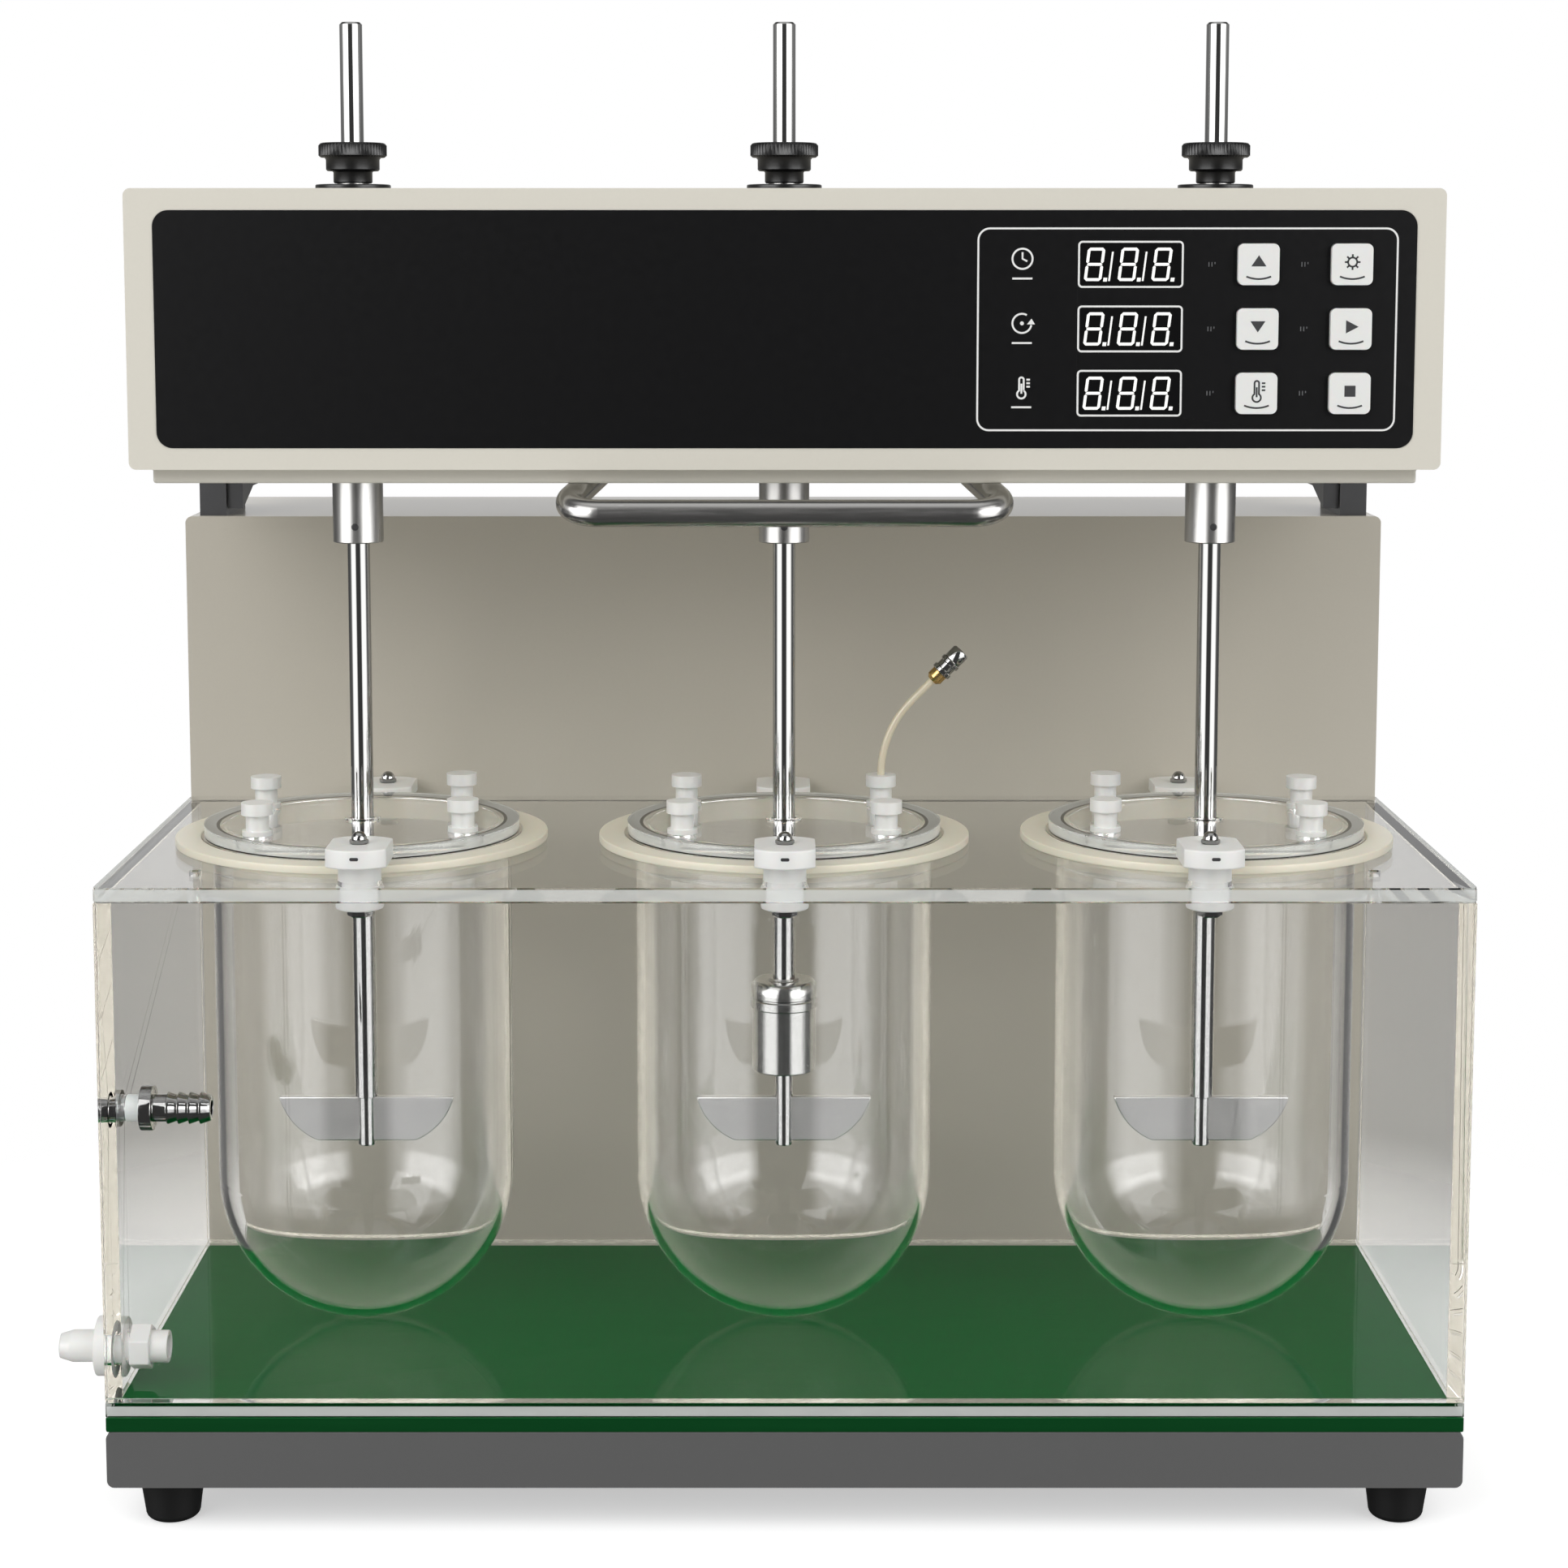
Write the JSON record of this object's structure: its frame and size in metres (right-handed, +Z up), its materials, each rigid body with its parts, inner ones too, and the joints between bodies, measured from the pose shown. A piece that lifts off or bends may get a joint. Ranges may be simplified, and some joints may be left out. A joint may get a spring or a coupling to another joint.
{
  "type": "dissolution tester",
  "caption": "Bench tablet dissolution tester with a clear water bath, round-bottom glass vessels under lids, and a stirring head with displays and buttons on a rear column.",
  "frame": {"origin": "middle of the bounding box's bottom, on the table", "axes": "+X to the operator's right, +Y to the back, +Z up"},
  "size_m": [0.563, 0.327, 0.603],
  "materials": {
    "grey_paint": "satin paint",
    "cream_paint": "satin paint",
    "green": "gloss",
    "clear": "clear acrylic",
    "glass": "clear",
    "rubber": "matte",
    "steel": "satin",
    "chrome": "polished",
    "aluminium": "satin",
    "white_plastic": "satin",
    "cream_plastic": "translucent",
    "tube_plastic": "satin",
    "black_plastic": "satin",
    "dark_plastic": "satin",
    "display": "gloss",
    "board": "satin"
  },
  "bodies": {
    "frame": {"base_chassis": "grey_paint", "rubber_feet": "rubber", "base_plate": "green", "tank_panels": "clear", "tank_top": "clear", "column_shell": "grey_paint", "rear_covers": "grey_paint", "cover_screws": "steel", "circulation_unit": "steel", "circulation_nozzle": "chrome", "drain_fitting": "white_plastic", "hinges": "dark_plastic", "power_inlet": "black_plastic", "vessel_left": "glass", "vessel_center": "glass", "vessel_right": "glass", "vessel_rings": "cream_plastic", "clamp_nuts": "chrome", "head_casing": "cream_paint", "head_tray": "grey_paint", "fascia": "black_plastic", "display_windows": "display", "control_board": "board", "handle": "steel", "spindle_bearings": "steel", "spindle_flanges": "black_plastic", "drive_plate": "aluminium", "drive_motor": "dark_plastic", "drive_belt": "rubber"},
    "motor_pulley": {"motor_pulley": "aluminium"},
    "power_switch": {"power_switch": "black_plastic"},
    "sampling_tube": {"sampling_tube": "tube_plastic"},
    "spindle_left": {"spindle_left": "steel"},
    "chuck_knob_left": {"chuck_knob_left": "black_plastic"},
    "stirrer_left": {"stirrer_left": "chrome"},
    "lid_left": {"lid_left": "clear", "stoppers_left": "white_plastic"},
    "spindle_center": {"spindle_center": "steel"},
    "chuck_knob_center": {"chuck_knob_center": "black_plastic"},
    "stirrer_center": {"stirrer_center": "chrome", "basket": "chrome"},
    "lid_center": {"lid_center": "clear", "stoppers_center": "white_plastic"},
    "spindle_right": {"spindle_right": "steel"},
    "chuck_knob_right": {"chuck_knob_right": "black_plastic"},
    "stirrer_right": {"stirrer_right": "chrome"},
    "lid_right": {"lid_right": "clear", "stoppers_right": "white_plastic"},
    "button_top_left": {"button_top_left": "white_plastic"},
    "button_top_right": {"button_top_right": "white_plastic"},
    "button_middle_left": {"button_middle_left": "white_plastic"},
    "button_middle_right": {"button_middle_right": "white_plastic"},
    "button_bottom_left": {"button_bottom_left": "white_plastic"},
    "button_bottom_right": {"button_bottom_right": "white_plastic"},
    "clamp_front_left": {"clamp_front_left": "white_plastic"},
    "clamp_front_center": {"clamp_front_center": "white_plastic"},
    "clamp_front_right": {"clamp_front_right": "white_plastic"},
    "clamp_rear_left": {"clamp_rear_left": "white_plastic"},
    "clamp_rear_center": {"clamp_rear_center": "white_plastic"},
    "clamp_rear_right": {"clamp_rear_right": "white_plastic"}
  },
  "joints": [
    {"name": "spindle_spin_left", "type": "hinge", "parent": "frame", "child": "spindle_left", "pos_m": [-0.1665, -0.0595, 0.478], "axis": [0, 0, 1], "continuous": true},
    {"name": "chuck_turn_left", "type": "hinge", "parent": "spindle_left", "child": "chuck_knob_left", "pos_m": [-0.1665, -0.0595, 0.546], "axis": [0, 0, 1], "range_deg": [0, 180]},
    {"name": "stirrer_slide_left", "type": "slide", "parent": "spindle_left", "child": "stirrer_left", "axis": [0, 0, 1], "range_m": [-0.035, 0.05]},
    {"name": "lid_lift_left", "type": "slide", "parent": "frame", "child": "lid_left", "axis": [0, 0, 1], "range_m": [0, 0.06]},
    {"name": "spindle_spin_center", "type": "hinge", "parent": "frame", "child": "spindle_center", "pos_m": [0.0115, -0.0595, 0.478], "axis": [0, 0, 1], "continuous": true},
    {"name": "chuck_turn_center", "type": "hinge", "parent": "spindle_center", "child": "chuck_knob_center", "pos_m": [0.0115, -0.0595, 0.546], "axis": [0, 0, 1], "range_deg": [0, 180]},
    {"name": "stirrer_slide_center", "type": "slide", "parent": "spindle_center", "child": "stirrer_center", "axis": [0, 0, 1], "range_m": [-0.035, 0.05]},
    {"name": "lid_lift_center", "type": "slide", "parent": "frame", "child": "lid_center", "axis": [0, 0, 1], "range_m": [0, 0.06]},
    {"name": "spindle_spin_right", "type": "hinge", "parent": "frame", "child": "spindle_right", "pos_m": [0.1895, -0.0595, 0.478], "axis": [0, 0, 1], "continuous": true},
    {"name": "chuck_turn_right", "type": "hinge", "parent": "spindle_right", "child": "chuck_knob_right", "pos_m": [0.1895, -0.0595, 0.546], "axis": [0, 0, 1], "range_deg": [0, 180]},
    {"name": "stirrer_slide_right", "type": "slide", "parent": "spindle_right", "child": "stirrer_right", "axis": [0, 0, 1], "range_m": [-0.035, 0.05]},
    {"name": "lid_lift_right", "type": "slide", "parent": "frame", "child": "lid_right", "axis": [0, 0, 1], "range_m": [0, 0.06]},
    {"name": "motor_spin", "type": "hinge", "parent": "frame", "child": "motor_pulley", "pos_m": [0.0115, 0.0105, 0.454], "axis": [0, 0, 1], "continuous": true},
    {"name": "button_top_left_press", "type": "slide", "parent": "frame", "child": "button_top_left", "axis": [0, 1, 0], "range_m": [0, 0.0015], "stiffness_N_per_m": 800},
    {"name": "button_top_right_press", "type": "slide", "parent": "frame", "child": "button_top_right", "axis": [0, 1, 0], "range_m": [0, 0.0015], "stiffness_N_per_m": 800},
    {"name": "button_middle_left_press", "type": "slide", "parent": "frame", "child": "button_middle_left", "axis": [0, 1, 0], "range_m": [0, 0.0015], "stiffness_N_per_m": 800},
    {"name": "button_middle_right_press", "type": "slide", "parent": "frame", "child": "button_middle_right", "axis": [0, 1, 0], "range_m": [0, 0.0015], "stiffness_N_per_m": 800},
    {"name": "button_bottom_left_press", "type": "slide", "parent": "frame", "child": "button_bottom_left", "axis": [0, 1, 0], "range_m": [0, 0.0015], "stiffness_N_per_m": 800},
    {"name": "button_bottom_right_press", "type": "slide", "parent": "frame", "child": "button_bottom_right", "axis": [0, 1, 0], "range_m": [0, 0.0015], "stiffness_N_per_m": 800},
    {"name": "clamp_front_left_swivel", "type": "hinge", "parent": "frame", "child": "clamp_front_left", "pos_m": [-0.1565, -0.14592, 0.27], "axis": [0, 0, 1], "range_deg": [-90, 90]},
    {"name": "clamp_front_center_swivel", "type": "hinge", "parent": "frame", "child": "clamp_front_center", "pos_m": [0.0115, -0.1465, 0.27], "axis": [0, 0, 1], "range_deg": [-90, 90]},
    {"name": "clamp_front_right_swivel", "type": "hinge", "parent": "frame", "child": "clamp_front_right", "pos_m": [0.1795, -0.14592, 0.27], "axis": [0, 0, 1], "range_deg": [-90, 90]},
    {"name": "clamp_rear_left_swivel", "type": "hinge", "parent": "frame", "child": "clamp_rear_left", "pos_m": [-0.1665, 0.0275, 0.27], "axis": [0, 0, 1], "range_deg": [-90, 90]},
    {"name": "clamp_rear_center_swivel", "type": "hinge", "parent": "frame", "child": "clamp_rear_center", "pos_m": [0.0115, 0.0275, 0.27], "axis": [0, 0, 1], "range_deg": [-90, 90]},
    {"name": "clamp_rear_right_swivel", "type": "hinge", "parent": "frame", "child": "clamp_rear_right", "pos_m": [0.1895, 0.0275, 0.27], "axis": [0, 0, 1], "range_deg": [-90, 90]},
    {"name": "sampling_swivel", "type": "hinge", "parent": "lid_center", "child": "sampling_tube", "pos_m": [0.0535, -0.027, 0.283], "axis": [0, 0, 1], "range_deg": [-90, 90]},
    {"name": "power_rocker", "type": "hinge", "parent": "frame", "child": "power_switch", "pos_m": [0.2265, 0.158, 0.103], "axis": [1, 0, 0], "range_deg": [0, 16]}
  ],
  "couplings": [
    {"joint": "spindle_spin_left", "follows": "spindle_spin_center", "ratio": 1},
    {"joint": "spindle_spin_right", "follows": "spindle_spin_center", "ratio": 1},
    {"joint": "motor_spin", "follows": "spindle_spin_center", "ratio": 2}
  ]
}
